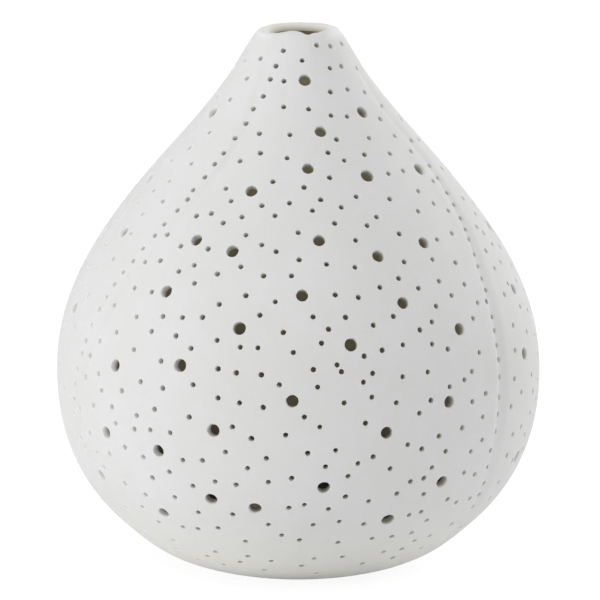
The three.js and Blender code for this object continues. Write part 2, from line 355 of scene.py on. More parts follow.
def wall_at(length):
    """The wall's thickness, which grows towards the lip over the last stretch."""
    neck_length = lengths[-1 - samples_per_stretch]
    along = max(0, (length - neck_length) / (outline_length - neck_length))
    return wall + (undercut_wall - wall) * along**2


rows = []
for step in range(1, outer_rows):
    rows.append((*on_outline(outline_length * step / outer_rows), outside))
bead_centre = lip - heading(lip_facing) * lip_rounding
rows.extend(arc(bead_centre, lip_rounding, lip_facing, facing_in, bead_rows))
collar_foot = bead_centre + heading(facing_in) * (lip_rounding - collar_rounding)
collar_foot -= Vector((0, collar_height))
rows.extend(arc(collar_foot, collar_rounding, facing_in, collar_end, rounding_rows, inside))
# The collar stands in for the first row down the inside
for step in range(2, inner_rows + 1):
    length = outline_length * (1 - step / inner_rows)
    point, normal = on_outline(length)
    rows.append((point - normal * wall_at(length), -normal, inside))
edge_in = Vector((foot_opening_radius + foot_rounding, wall - foot_rounding))
edge_low = Vector((foot_opening_radius + foot_rounding, foot_rounding))
edge_out = Vector((contact_radius - foot_rounding, foot_rounding))
rows.extend(arc(edge_in, foot_rounding, facing_up, facing_in, rounding_rows, inside))
rows.extend(arc(edge_low, foot_rounding, facing_in, facing_down, rounding_rows, inside))
rows.extend(arc(edge_out, foot_rounding, facing_down, bevel_end, bevel_rows, outside))
print(len(rows), "rows round the wall")

# %% The columns, which gather at the furrows
furrow_gathering = 0.72
columns_by_gap = (56, 80)
valleys = [(0, right_line), (math.pi, left_line), (math.pi, right_line), (full_turn, left_line)]


def column_turns(height):
    """The turn of every column at a height."""
    at = [around + read(line, height) for around, line in valleys]
    ends = [*at[1:], at[0] + full_turn]
    turns = []
    for index, (start, end) in enumerate(zip(at, ends)):
        count = columns_by_gap[index % 2]
        for step in range(count):
            share = step / count
            eased = share - furrow_gathering * math.sin(full_turn * share) / full_turn
            turns.append(start + (end - start) * eased)
    return turns


print(len(column_turns(girth.y)), "columns")

# %% [markdown]
# ## The lip's unevenness
# The lip was wiped with a wet sponge: its inner edge lies lower on the left and has a soft dent in
# front, right of the middle. A sculpted mesh could show that too, but a few soft waves round the
# lip are easier to change. Each wave has a turn and a width in degrees, and a height in mm.

# %% The waves of the lip
lip_waves = [
    (16, 9, -0.9), (36, 15, -0.5), (-10, 13, 0.4), (-38, 13, -0.4), (-62, 17, -0.8),
    (-98, 24, -0.6), (150, 34, -0.15),
]
lip_lowering = 0.2 * mm
lip_tilt = 0.12 * mm
lip_zone = 9 * mm


def lip_offset(turn, height, radius):
    """How far the lip's own unevenness lifts a point near the mouth."""
    near = smooth((height - lip.y + lip_zone) / lip_zone)
    if near == 0:
        return 0
    wave = sum(
        size * mm * math.exp(-((math.degrees(wrapped(turn - math.radians(at))) / width) ** 2))
        for at, width, size in lip_waves
    )
    inward = 1 - smooth((radius - bead_centre.x) / lip_rounding)
    return near * (lip_tilt * math.sin(turn) - lip_lowering + wave * inward)


print_range("the lip rises:", [lip_offset(turn, lip.y, bead_centre.x) for turn in turns_round])

# %% [markdown]
# ## The hand-wiped face
# The face was scraped and sponged upright before firing, which left ripples too shallow to feel.
# They are moved points and not only a finish, so the light runs unevenly over the round as well.

# %% Ripples
ripple_size = 0.055 * mm
slow_share = 2.2
# How quickly each kind changes round the shade and up it, and where on the noise it starts
upright_rates = (11, 14, 0)
slow_rates = (3.1, 34, 7)
level_foot = 6 * mm


def ripple_at(turn, height):
    """How far the sponge left the face above its plain round."""
    ray = around_axis(turn, 1, 0)
    upright, slow = (
        noise.noise(Vector((ray.x * around, ray.y * around, height * up + start)))
        for around, up, start in (upright_rates, slow_rates)
    )
    return ripple_size * (upright + slow_share * slow)


print_range("ripples at the girth:", [ripple_at(turn, girth.y) for turn in turns_round])


# %% Build the net
def shade_point(turn, row):
    """A row's point at a turn, moved by furrows, ripples and the lip; the foot stays level."""
    point, normal, side = row
    outward = normal if side == outside else -normal
    depth = furrow_at(turn, point.y, point.x)
    if side == outside:
        depth -= ripple_at(turn, point.y)
    depth *= smooth(point.y / level_foot)
    radius = point.x - outward.x * depth
    height = point.y - outward.y * depth + lip_offset(turn, point.y, point.x)
    return around_axis(turn, radius, height)


def shade_net():
    """Points, quads and each quad's side of the unpierced shade."""
    points = []
    for row in rows:
        points.extend(shade_point(turn, row) for turn in column_turns(row[0].y))
    width = len(points) // len(rows)
    faces = []
    sides = []
    for index, row in enumerate(rows):
        faces.extend(band(index * width, (index + 1) % len(rows) * width, width))
        sides.extend([row[2]] * width)
    return points, faces, sides


net_points, net_faces, net_sides = shade_net()
print(len(net_points), "points and", len(net_faces), "quads before piercing")


def mesh_object(name, points, faces):
    """A new object in the scene, of these points and faces."""
    mesh = bpy.data.meshes.new(name)
    mesh.from_pydata(points, [], faces)
    mesh.validate()
    return in_scene(name, mesh)


def give_sides(made, sides):
    """Three empty material slots, with each face in the slot of its side."""
    for _ in (outside, pierced, inside):
        made.data.materials.append(None)
    made.data.polygons.foreach_set("material_index", sides)


blank = mesh_object("shade_blank", net_points, net_faces)
give_sides(blank, net_sides)
blank_normals = [vertex.normal.copy() for vertex in blank.data.vertices]
blank_tree = BVHTree.FromPolygons(net_points, net_faces)

# %% [markdown]
# ## The holes
# The large holes are drilled and the small ones pricked with a round needle while the clay is
# leather-hard. Their places in front are read off the photograph, pixel by pixel. What can't be
# seen carries the same pattern on, half a turn round and a quarter turn to each side. A copied hole
# is left out where it would crowd another, or show through one in front as a bright spot.

# %% Where the large holes are
large_hole_pixels = [
    (305, 80), (362.5, 112), (212.3, 112.3), (320.8, 131.3), (308.1, 168.2), (367.4, 175.6),
    (419.4, 169), (251.3, 190.7), (150, 177.5), (448.5, 170.5), (489.6, 226.7), (196.4, 239.7),
    (232.3, 251), (319.3, 240.2), (378.3, 256), (423.9, 242.5), (124, 231.5), (103.3, 232.5),
    (166.3, 291.3), (302.2, 295.3), (403.3, 302.8), (513.9, 289), (74.6, 307), (239.3, 328.3),
    (459.9, 329), (351.3, 344.8), (524.7, 353.6), (115, 365.5), (180, 365.4), (292.4, 401.4),
    (449.5, 402), (106, 432.6), (213.3, 430.7), (387, 433), (158.2, 451), (101.6, 475.8),
    (517, 456.5), (442, 482), (324, 488), (211.3, 499.3), (255.2, 508.5), (163.5, 513), (388, 520),
]

# %% Where the small holes are, from the mouth down
small_hole_pixels = [
    (249.4, 42.9), (283.2, 50.4), (260.4, 58.5), (244.8, 60.2), (275.7, 65.8), (302.2, 60.2),
    (270.2, 79), (283.9, 80.8), (246.7, 78.2), (230, 78.3), (263.2, 96), (217.8, 95.7),
    (230, 99.2), (283.7, 106.5), (253.3, 108.8), (246, 123.3), (192.1, 129.3), (209.3, 132.2),
    (259.3, 133.3), (289.9, 134.5), (235, 138.1), (189.6, 147.7), (223.6, 153), (260.3, 152.8),
    (316.9, 45), (330.7, 46.1), (341.9, 43.8), (330.2, 67.9), (341.7, 66.1), (356.7, 68.2),
    (347.8, 89.2), (330.7, 91.7), (364.8, 92.1), (308.8, 108.8), (382.1, 106.3), (331.2, 115.2),
    (347.3, 116.3), (380.4, 118.8), (336.8, 139.2), (369.3, 137.9), (394.8, 135.8), (411.7, 140.4),
    (328.2, 152.3), (364.6, 154.3), (390.2, 153.4), (411.2, 151.2),
    (171.7, 159.8), (169.4, 180.8), (154, 190), (162.8, 201), (138.8, 201.7), (132, 198.8),
    (142.3, 213.8), (123.3, 215), (115.8, 220.8), (177.3, 210.2), (164.2, 224), (130.8, 233.3),
    (154.7, 235.3), (167.3, 234.5), (106.3, 244.3), (142.8, 248.2), (133, 260.8), (145, 261.8),
    (160.2, 260.4), (113.3, 258.3), (87.9, 265.8), (96, 268.2), (122.9, 272.1), (178.6, 271.3),
    (191.4, 163.3), (214.5, 163.9), (239.9, 160.8), (287.1, 157.7), (204.8, 177), (272.9, 181.3),
    (225.8, 188.3), (193, 189.8), (187.5, 199.2), (304.2, 187), (231, 200.7), (289.5, 202.8),
    (261.8, 205.3), (196.3, 215.7), (211.3, 213.2), (241.9, 216.7), (275, 215.3), (223, 222.7),
    (245.9, 234.8), (298.3, 232.3), (261.8, 244.6), (180.6, 246), (208.1, 248.7), (276.1, 251.2),
    (299.2, 259.4), (194.2, 265), (240.7, 266.5), (217.3, 273.8),
    (344.5, 160.2), (329.8, 177.3), (388.7, 173.5), (403.3, 170.7), (320.8, 199.4), (356.3, 196.4),
    (418.5, 191), (390, 198.8), (341.5, 207), (312.6, 210.2), (376.7, 216.7), (418.3, 211),
    (334.9, 223), (367.4, 225.3), (399.5, 233.6), (355.9, 240), (404.5, 261.7), (326.7, 264),
    (355.2, 267), (429.8, 165.8), (437.7, 177.8), (433.5, 181.1), (441.8, 168.2), (447.5, 192.9),
    (463.2, 198.3), (433.8, 203.4), (454.1, 204.6), (448.5, 210.6), (472.3, 202.5), (475.3, 213.6),
    (460.8, 218.2), (476.8, 226.8), (465.4, 229.4), (483.6, 232.7), (452.1, 233.2), (437.3, 239.2),
    (468.8, 239.2), (492.5, 244.2), (500, 247), (486.1, 250.7), (473.8, 254.2), (432.8, 259.3),
    (455.7, 262.5), (500.8, 262.1), (477.9, 266.4), (494.8, 268.3),
    (114.2, 284), (134.3, 287.9), (151.5, 291.7), (80.7, 284.6), (87.9, 294.8), (106.3, 296.8),
    (99.2, 308.9), (114, 304.8), (136.3, 316.7), (162.8, 316.3), (91.5, 324.6), (75, 326.3),
    (116.3, 332.3), (151.3, 331.3), (175.7, 335.8), (99.5, 341), (85.7, 340.8), (133.7, 349.6),
    (89.6, 355.2), (81.7, 353.3), (160.8, 361), (77.1, 369), (98.2, 373.8), (85.4, 377.1),
    (140.3, 381.7), (75, 383.2), (162.5, 388.2), (101.4, 390.6), (121.5, 390.8),
    (263.5, 275.6), (291.5, 275.6), (194.3, 283.1), (245.8, 295.3), (275.3, 301.6), (219, 304.2),
    (182.3, 317.3), (202.3, 317.1), (259.8, 315), (283.3, 332.3), (216.8, 340.2), (190.8, 348.3),
    (240.2, 347.1), (257.8, 347.8), (293.3, 352.4), (217.9, 368.8), (236.1, 372.9), (261.3, 374.8),
    (279.2, 384.9), (192.8, 384.8),
    (335.4, 294.6), (358.6, 297.2), (380.2, 287.1), (398.9, 278.1), (418.8, 288), (313.2, 316.7),
    (345.8, 317.1), (393.7, 316.2), (373.7, 325), (328.8, 329), (420.3, 329.8), (321.7, 343.1),
    (403.3, 344.8), (382.5, 350.2), (364.6, 356.1), (337.3, 364.9), (313.5, 369.6), (341.7, 371.7),
    (373, 373.4), (403.1, 376.8), (363.7, 382.2), (317.7, 387.2),
    (439.3, 281), (464.8, 284.2), (481.7, 278.6), (485.8, 290), (451.8, 295.3), (508.1, 283.8),
    (516.3, 280.4), (504.6, 294.3), (486.9, 301.1), (477.8, 302.7), (436.5, 306), (520.3, 306.4),
    (492.1, 316.8), (473.4, 318.3), (432.3, 321.8), (513.3, 325.3), (494, 330.6), (526.8, 331.3),
    (432.6, 344), (496.4, 345.3), (448.2, 349), (515.3, 350.3), (479.7, 352.5), (537.7, 353.8),
    (498.3, 359.6), (428.2, 372.1), (472.3, 371.4), (499, 377), (531.8, 374.6), (514.7, 378.6),
    (464.8, 379.8), (537.3, 380), (450.1, 386.8), (486, 393.5), (521.6, 392),
    (73.9, 398.8), (79.4, 408.2), (73.6, 412.9), (93.4, 405.8), (111.7, 406.9), (154.3, 409.3),
    (136.5, 415.6), (115.4, 423.5), (134.2, 429.2), (150, 430), (170, 432.9), (89.8, 433.3),
    (80.8, 437.9), (85.3, 446.7), (124.8, 447.5), (96.4, 452.1), (109.6, 453.8), (143.2, 457.3),
    (103.8, 467.1), (169.2, 472.1), (152.3, 477.9), (125, 484), (145.6, 494.9), (174.8, 497.4),
    (125.4, 507.8), (142.3, 507), (217.9, 398.1), (239.4, 403.1), (263.1, 407.5), (189, 417.3),
    (304.5, 417.3), (232.3, 427.1), (251.4, 438.8), (285.7, 435.4), (225.3, 452.3), (182.7, 460.3),
    (202.3, 460.7), (266.3, 458.8), (247.5, 468.6), (291.7, 478.7), (215.1, 481.9), (268.3, 482.5),
    (192.9, 486.2), (236.1, 485.1), (288.9, 508.2), (304.5, 505.2), (198.3, 512.7), (232.7, 514.8),
    (372.3, 397.3), (344.4, 403.1), (396.7, 402.9), (419.8, 413.3), (320, 427.3), (365.8, 423.5),
    (408.1, 445), (422.1, 449.2), (335.8, 450.7), (307.9, 453.6), (373.5, 457.1), (358.3, 463.8),
    (325.7, 467.1), (390.4, 469), (348.3, 476.6), (424.1, 478.5), (410.7, 481.9), (345.6, 497.1),
    (397.1, 493.9), (423.9, 494.4), (368.8, 501.6), (328.6, 509.5), (421.3, 512.1), (409.2, 515.3),
    (431.3, 400.4), (472.7, 401.7), (498.5, 397.3), (511.3, 406.4), (530.2, 412.5), (497.3, 414.4),
    (483.1, 416.9), (521.3, 426.7), (462.5, 427.9), (495.2, 431.7), (512.9, 434.4), (524.6, 434.6),
    (439.4, 436.3), (482.5, 440), (490.8, 450.6), (446, 451.5), (471.1, 451.7), (507.1, 455.4),
    (512.5, 460.4), (432.3, 467.8), (487.9, 466.8), (464.3, 472.8), (474.8, 474.6), (483.3, 483.7),
    (498.6, 482.5), (479, 494.8), (447.8, 499.4), (470, 498.6), (456.4, 502.5), (472.5, 506.9),
    (490, 498.3), (158.8, 522.5), (144.6, 530.4), (173.8, 540.7), (177.1, 549),
    (268.5, 525), (183.1, 527.3), (198.1, 529.2), (218.1, 528.3), (281.8, 535.6), (245.6, 541.7),
    (299.6, 540.4), (215.6, 552.1), (207.9, 556.5), (248.1, 556.7), (240.4, 562.3), (224.3, 564.8),
    (271.4, 561.5), (264.6, 570.4), (301.8, 566.3), (199.2, 560.4), (313.2, 525.3), (339.4, 521.9),
    (363.8, 524.4), (426.9, 520.5), (411.7, 532.9), (372.1, 538.8), (391.9, 536.7), (429.5, 536.1),
    (414.6, 540.8), (338.1, 542.8), (401.8, 549.2), (383.6, 551.9), (421.3, 547.9), (314.2, 558.8),
    (342.5, 557.1), (392.7, 557.9), (362.3, 563.8), (316.4, 573.6), (451.5, 524.2), (459.8, 527.5),
]
print(len(large_hole_pixels), "large and", len(small_hole_pixels), "small holes in the photograph")

# %% The holes all round
large_hole_radius = 1.9 * mm
small_hole_radius = 0.83 * mm
large_flare = 0.26 * mm
small_flare = 0.16 * mm
large_sides, small_sides = 24, 10
large_spacing = 13 * mm
small_spacing = 4.6 * mm
mixed_spacing = 3.9 * mm
front_angle = math.radians(74)
widest_view_through = math.radians(25)
copy_turns = (math.pi, math.pi / 2, -math.pi / 2)
Hole = namedtuple("Hole", "place radius flare sides")


def in_picture(place):
    """Where a place is seen in the photograph, in pixels from its middle."""
    offset = place - camera.location
    scale = pixels_per_length / -offset.dot(toward_camera)
    return Vector((offset.dot(picture_right), offset.dot(picture_up))) * scale


def seen_holes(pixels, radius, flare, sides):
    """The holes that lie under these pixels of the photograph."""
    hits = [under_pixel(blank_tree, pixel) for pixel in pixels]
    return [Hole(hit, radius, flare, sides) for hit in hits if hit]


def spacing(hole, other):
    """How far apart two holes are, measured round the shade and upright."""
    radius = math.hypot(hole.place.x, hole.place.y)
    across = wrapped(turn_of(hole.place) - turn_of(other.place)) * radius
    return math.hypot(across, hole.place.z - other.place.z)


def carried_on(front, least, others, least_to_others, needle_holes=()):
    """The front's holes, and turned copies of those that crowd and show through no other."""
    radius = front[0].radius
    windows = [(in_picture(hole.place), radius + hole.radius) for hole in [*front, *others]]
    windows += [(in_picture(hole.place), radius) for hole in needle_holes]
    pixels_per_metre = pixels_per_length / camera_distance
    holes = list(front)
    for around in copy_turns:
        # A copy a quarter turn round only fills a side, which the front's own holes leave open
        widest = 1 if around == math.pi else math.cos(front_angle)
        rotation = Matrix.Rotation(around, 3, "Z")
        for hole in front:
            copy = hole._replace(place=rotation @ hole.place)
            spot = in_picture(copy.place)
            if (
                abs(math.cos(turn_of(copy.place))) < widest
                and all(spacing(copy, other) > least for other in holes)
                and all(spacing(copy, other) > least_to_others for other in others)
                and all(
                    (spot - window).length > clearance * pixels_per_metre
                    for window, clearance in windows
                )
            ):
                holes.append(copy)
    return holes


large_front = seen_holes(large_hole_pixels, large_hole_radius, large_flare, large_sides)
small_front = seen_holes(small_hole_pixels, small_hole_radius, small_flare, small_sides)
needles = [hole for hole in small_front if abs(turn_of(hole.place)) < widest_view_through]
large_holes = carried_on(large_front, large_spacing, [], 0, needles)
small_holes = carried_on(small_front, small_spacing, large_holes, mixed_spacing)
print(len(large_holes), "large and", len(small_holes), "small holes all round")

# %% [markdown]
# ## Drill and needle
# Each hole is cut by a body of its own: a prism that flares where it leaves the face, as a sponged
# hole's edge does. Dark dots in the finish would be quicker, but only a real hole shows its wall
# and lets light through. No two holes are quite the same, so each gets its own size, lean and
# slightly uneven round. All the cutters are one mesh, because one cut is far quicker than hundreds.

# %% The needle's and the drill's shapes
dice = random.Random(11)
lean_range, size_range, round_range = (-0.05, 0.05), (0.93, 1.07), (0.975, 1.025)
overrun = 1.2 * mm
overrun_flare = 1.6
# How deep in the face each ring of the flare lies, and how far it widens, in widths of the flare
flare_rings = [(0, 1), (0.45, 0.38), (1.3, 0)]
middle_ring_depth = 0.45 * wall
inner_end_share = 0.97
outline_stride = 4


def plain_place(place):
    """The outline's length and normal at a place on the face."""
    sampled = range(0, len(outline), outline_stride)
    nearest = min(sampled, key=lambda index: abs(outline[index][0].y - place.z))
    return lengths[nearest], outline[nearest][1]


def cutter(hole):
    """Points and faces of one cutter, square to the face at its place."""
    length, normal = plain_place(hole.place)
    turn = turn_of(hole.place)
    outward = around_axis(turn, *normal)
    lean = Vector([dice.uniform(*lean_range) for _ in range(3)])
    outward = (outward + lean).normalized()
    across = outward.cross(Vector((0, 0, 1))).normalized()
    up = outward.cross(across)
    radius = hole.radius * dice.uniform(*size_range)
    start = dice.uniform(0, full_turn)
    uneven = [dice.uniform(*round_range) for _ in range(hole.sides)]
    profile = [(overrun, radius + overrun_flare * hole.flare)]
    for into, wider in flare_rings:
        profile.append((-into * hole.flare, radius + wider * hole.flare))
    if hole.sides == large_sides:
        profile.append((-middle_ring_depth, radius))
    profile.append((-wall_at(length) - overrun, radius * inner_end_share))
    points = []
    for along, reach in profile:
        for index in range(hole.sides):
            angle = start + full_turn * index / hole.sides
            ray = across * math.cos(angle) + up * math.sin(angle)
            points.append(hole.place + outward * along + ray * reach * uneven[index])
    faces = [tuple(range(hole.sides))]
    for ring in range(len(profile) - 1):
        high = ring * hole.sides
        low = high + hole.sides
        for index in range(hole.sides):
            following = (index + 1) % hole.sides
            faces.append((high + index, low + index, low + following, high + following))
    faces.append(tuple(low + index for index in reversed(range(hole.sides))))
    return points, faces


cutter_points = []
cutter_faces = []
for hole in [*large_holes, *small_holes]:
    points, faces = cutter(hole)
    base = len(cutter_points)
    cutter_points.extend(points)
    cutter_faces.extend(tuple(base + corner for corner in face) for face in faces)
cutters = mesh_object("cutters", cutter_points, cutter_faces)
give_sides(cutters, [pierced] * len(cutter_faces))
print(len(cutter_faces), "cutter faces")

# %% Pierce the shade
piercing = blank.modifiers.new("piercing", "BOOLEAN")
piercing.operation = "DIFFERENCE"
piercing.solver = "MANIFOLD"
piercing.object = cutters
bpy.context.view_layer.update()
evaluated = blank.evaluated_get(bpy.context.evaluated_depsgraph_get())
shade_mesh = bpy.data.meshes.new_from_object(evaluated)
shade_mesh.name = "shade_body"
shade_body = in_scene("shade_body", shade_mesh)
for made in (blank, cutters):
    bpy.data.objects.remove(made)
side_counts = [0, 0, 0]
for polygon in shade_mesh.polygons:
    side_counts[polygon.material_index] += len(polygon.vertices) - 2
print("triangles outside, in the holes and inside:", side_counts, "in all", sum(side_counts))

# %% [markdown]
# ## Smooth light over the face and crisp light in the holes
# Cutting leaves long thin faces, whose own normals would show as streaks. So every corner on the
# face takes the normal of the unpierced shade, and the holes' walls take their own. How deep each
# point lies in the wall is kept with it, for the finish.

# %% Normals and depths of the pierced shade
hole_normals = defaultdict(Vector)
on_face = set()
for polygon in shade_mesh.polygons:
    if polygon.material_index == pierced:
        for corner in polygon.vertices:
            hole_normals[corner] += polygon.normal * polygon.area
    else:
        on_face.update(polygon.vertices)

face_normals = []
face_is_outer = []
depths = []
for vertex in shade_mesh.vertices:
    place, _, face, distance = blank_tree.find_nearest(vertex.co)
    corners = net_faces[face]
    weights = poly_3d_calc([net_points[corner] for corner in corners], place)
    normal = Vector()
    for corner, weight in zip(corners, weights):
        normal += blank_normals[corner] * weight
    face_normals.append(normal.normalized())
    face_is_outer.append(net_sides[face] == outside)
    depths.append(distance / mm if face_is_outer[-1] else (wall - distance) / mm)

corner_normals = []
for polygon in shade_mesh.polygons:
    for corner in polygon.vertices:
        if polygon.material_index != pierced or (corner in on_face and face_is_outer[corner]):
            corner_normals.append(face_normals[corner])
        else:
            corner_normals.append(hole_normals[corner].normalized())
shade_mesh.shade_smooth()
shade_mesh.normals_split_custom_set(corner_normals)
shade_mesh.attributes.new("depth_in", "FLOAT", "POINT").data.foreach_set("value", depths)
print(len(shade_mesh.vertices), "points in the pierced shade")

# %% [markdown]
# ## Finishes written as sums
# Each finish is worked out by the shader from the place on the piece, so it needs no picture and
# suits any view. A value from one node is wrapped so that plain sums make the maths nodes.

# %% Values and finishes
grain_roughness = 0.55


def operator(operation, swapped=False):
    """A method that makes a Math node of two numbers, in their own order or swapped."""

    def method(self, other):
        return self.maths(operation, *((other, self) if swapped else (self, other)))

    return method


class Value:
    """A number worked out by the shader, to be used in plain sums."""

    def __init__(self, finish, output):
        self.finish = finish
        self.output = output

    def maths(self, operation, *terms, clamped=False):
        """A Math node of these terms."""
        settings = {"operation": operation, "use_clamp": clamped}
        return self.finish.node("ShaderNodeMath", settings, dict(enumerate(terms)))

    __add__ = __radd__ = operator("ADD")
    __mul__ = __rmul__ = operator("MULTIPLY")
    __sub__, __rsub__ = operator("SUBTRACT"), operator("SUBTRACT", swapped=True)
    __truediv__, __rtruediv__ = operator("DIVIDE"), operator("DIVIDE", swapped=True)
    __pow__ = operator("POWER")

    def clamped(self):
        """The same number, held between nought and one."""
        return self.maths("ADD", self, 0, clamped=True)

    def eased(self, start, end):
        """Nought at the start, one at the end and a smooth rise between them."""
        settings = {"interpolation_type": "SMOOTHSTEP"}
        return self.finish.node("ShaderNodeMapRange", settings, {0: self, 1: start, 2: end})


class Nodes:
    """The nodes of a material or of the surrounding, all made by one method."""

    def __init__(self, tree):
        self.tree = tree

    def plug(self, socket, value):
        """Link a value from another node, or set a plain one."""
        if isinstance(value, Value):
            self.tree.links.new(value.output, socket)
        else:
            socket.default_value = value

    def node(self, kind, settings, sockets, output=0):
        """A new node with its settings and sockets filled in, and the output that is used."""
        made = self.tree.nodes.new(kind)
        for name, value in settings.items():
            setattr(made, name, value)
        for name, value in sockets.items():
            self.plug(made.inputs[name], value)
        return Value(self, made.outputs[output])

    def not_bounced(self):
        """One for the camera, and for what it sees in metal and glass; nought for the light."""
        straight, mirrored, let_through = (
            self.node("ShaderNodeLightPath", {}, {}, f"Is {ray} Ray")
            for ray in ("Camera", "Glossy", "Transmission")
        )
        return (straight + mirrored + let_through).clamped()


class Finish(Nodes):
    """A material that is built up from nodes."""

    def __init__(self, name):
        self.material = bpy.data.materials.new(name)
        self.material.use_nodes = True
        super().__init__(self.material.node_tree)
        self.shader = self.tree.nodes["Principled BSDF"]
        self.place = self.node("ShaderNodeTexCoord", {}, {}, "Object")

    def set(self, **sockets):
        """Values and links for the surface; an underscore stands for a space in a name."""
        for name, value in sockets.items():
            self.plug(self.shader.inputs[name.replace("_", " ")], value)
        print(self.material.name, "has", len(self.tree.nodes), "nodes")

    def axes(self):
        """The place's own x, y and z."""
        parts = self.node("ShaderNodeSeparateXYZ", {}, {0: self.place})
        return [Value(self, output) for output in parts.output.node.outputs]

    def grain(self, size, detail=2, stretch=(1, 1, 1)):
        """Soft noise about 0.5, with features of about this size."""
        stretched = self.node(
            "ShaderNodeVectorMath", {"operation": "MULTIPLY"}, {0: self.place, 1: stretch}
        )
        sockets = {"Vector": stretched, "Scale": 1 / size}
        sockets.update({"Detail": detail, "Roughness": grain_roughness})
        return self.node("ShaderNodeTexNoise", {}, sockets)

    def mix(self, share, first, second):
        """A colour between two colours."""
        sockets = {0: share, 6: first, 7: second}
        return self.node("ShaderNodeMix", {"data_type": "RGBA"}, sockets, 2)

    def layered(self, colour, *layers):
        """A colour with others laid over it in turn, each by its own share."""
        for share, over in layers:
            colour = self.mix(share, colour, over)
        return colour

    def relief(self, height, depth):
        """A normal for relief of this depth; the height runs from nought to one."""
        sockets = {"Height": height, "Distance": depth, "Strength": 1.0}
        return self.node("ShaderNodeBump", {}, sockets)


warmth_in_green = 0.12


def grey(level, warmth=0.0):
    """A colour of this lightness; warmth takes from the blue, and a little from the green."""
    return (level, level * (1 - warmth * warmth_in_green), level * (1 - warmth), 1)


print("a warm white:", [round(part, 3) for part in grey(0.9, 0.05)])

# %% [markdown]
# ## Bisque porcelain
# Unglazed porcelain fires matt white with a fine tooth. Its cast face is slightly cloudy, with a
# few dark grains and a sheen of the lowest kind. It is painted paler towards the foot and on the
# lip's two sides, as painted light. A painted picture could hold that, but noise of the right size
# never repeats.

# %% Bisque porcelain finish
body_level = 0.735
cloud_dark, cloud_pale = grey(body_level * 0.985, 0.012), grey(body_level * 1.012, -0.004)
mottle_colour, grit_colour = grey(body_level * 0.975, 0.02), grey(body_level * 0.5, 0.15)
# Painted light: the foot, the contact ring and the lip's sides are painted paler
foot_light, contact_light, lip_side_light = grey(0.86, 0.05), grey(0.97, 0.05), grey(0.82)
cloud_size, mottle_size, sponge_size = 31 * mm, 5.5 * mm, 2.6 * mm
grit_size, tooth_size = 0.42 * mm, 0.3 * mm
foot_light_fade, contact_light_fade = (32 * mm, 2 * mm), (5 * mm, 0)
lit_lip_across, lit_lip_up = (7.5 * mm, 10.5 * mm), (lip.y - 2.5 * mm, lip.y - 0.5 * mm)
sponge_stretch = (1, 1, 0.45)
face_relief = 0.05 * mm


def bisque(name):
    """The matt white face with painted light at its foot and lip's sides; its colour and cloud for
    other uses.
    """
    finish = Finish(name)
    cloud = finish.grain(cloud_size, detail=3)
    mottle = finish.grain(mottle_size, detail=4)
    grit = finish.grain(grit_size, detail=1)
    tooth = finish.grain(tooth_size, detail=3)
    sponged = finish.grain(sponge_size, detail=3, stretch=sponge_stretch)
    across, _, height = finish.axes()
    lit_lip_sides = (across * across).eased(*(edge**2 for edge in lit_lip_across))
    pale_and_painted_light = finish.layered(
        cloud_dark,
        (cloud.eased(0.3, 0.7), cloud_pale),
        (mottle.eased(0.35, 0.75) * 0.5, mottle_colour),
        # Painted light: paler towards the foot and the contact ring, and on the lip's two sides
        (height.eased(*foot_light_fade), foot_light),
        (height.eased(*contact_light_fade), contact_light),
        (lit_lip_sides * height.eased(*lit_lip_up), lip_side_light),
        (grit.eased(0.70, 0.78) * 0.22, grit_colour),
    )
    finish.set(
        Base_Color=pale_and_painted_light,
        Roughness=0.78 + mottle * 0.12 - cloud * 0.04,
        Specular_IOR_Level=0.25,
        Normal=finish.relief(sponged * 0.7 + tooth * 0.3, face_relief),
    )
    return finish, pale_and_painted_light, cloud


face_finish, _, _ = bisque("bisque face")

# %% [markdown]
# ## The holes' walls
# A hole's wall is torn clay. It has the face's white at its rim and is painted darker as it goes
# in, as painted shade that follows the depth kept with the mesh. Deep in, it is painted paler at
# the left and darker at the right, as painted light and shade, and darkest in the lowest holes in
# front as painted shade. Light soaking through the thin clay is a painted glow near the rim, most
# at the left and some at the right.

# %% The holes' walls
# Painted light and shade for the walls, and the colours of their painted glow
lit_left_wall, shaded_right_wall = (0.64, 0.635, 0.60, 1), (0.44, 0.43, 0.36, 1)
shaded_lowest_wall, dark = (0.24, 0.23, 0.19, 1), (0, 0, 0, 1)
middle_glow, right_glow = (0.08, 0.08, 0.07, 1), (0.25, 0.25, 0.24, 1)
left_glow = (0.74, 0.74, 0.72, 1)
wall_glow_strength = 0.3
lowest_shade_fade, high_holes = (44 * mm, 28 * mm), (80 * mm, 120 * mm)
tear_size, tear_relief = 0.8 * mm, 0.08 * mm

wall_finish, rim_white, _ = bisque("bisque in the holes")
depth_in = wall_finish.node("ShaderNodeAttribute", {"attribute_name": "depth_in"}, {}, "Fac")
wall_tear = wall_finish.grain(tear_size, detail=3)
across, along, height = wall_finish.axes()
sideways = across / (across * across + along * along) ** 0.5
in_middle = sideways.eased(-0.75, -0.5) * (1 - sideways.eased(0.2, 0.5))
on_left = (sideways + height.eased(*high_holes) * 0.12).eased(-0.45, -0.95)
near_rim = depth_in.eased(-0.4, 0.4) * (1 - depth_in.eased(1.0, 2.2))
# Painted shade deep in the walls: paler at the left, darker at the right, darkest low in front
deep_wall_shading = wall_finish.layered(
    lit_left_wall,
    (sideways.eased(-0.5, 0.4), shaded_right_wall),
    (height.eased(*lowest_shade_fade) * in_middle, shaded_lowest_wall),
)
# Painted glow: emission near the rim that stands in for light soaking through the clay
glow = wall_finish.layered(
    middle_glow, (sideways.eased(0.5, 0.9), right_glow), (on_left, left_glow)
)
wall_finish.set(
    Base_Color=wall_finish.mix(depth_in.eased(0.2, 1.3), rim_white, deep_wall_shading),
    Roughness=0.82 + wall_tear * 0.1,
    Normal=wall_finish.relief(wall_tear, tear_relief),
    Emission_Color=wall_finish.mix(near_rim, dark, glow),
    Emission_Strength=wall_glow_strength,
)
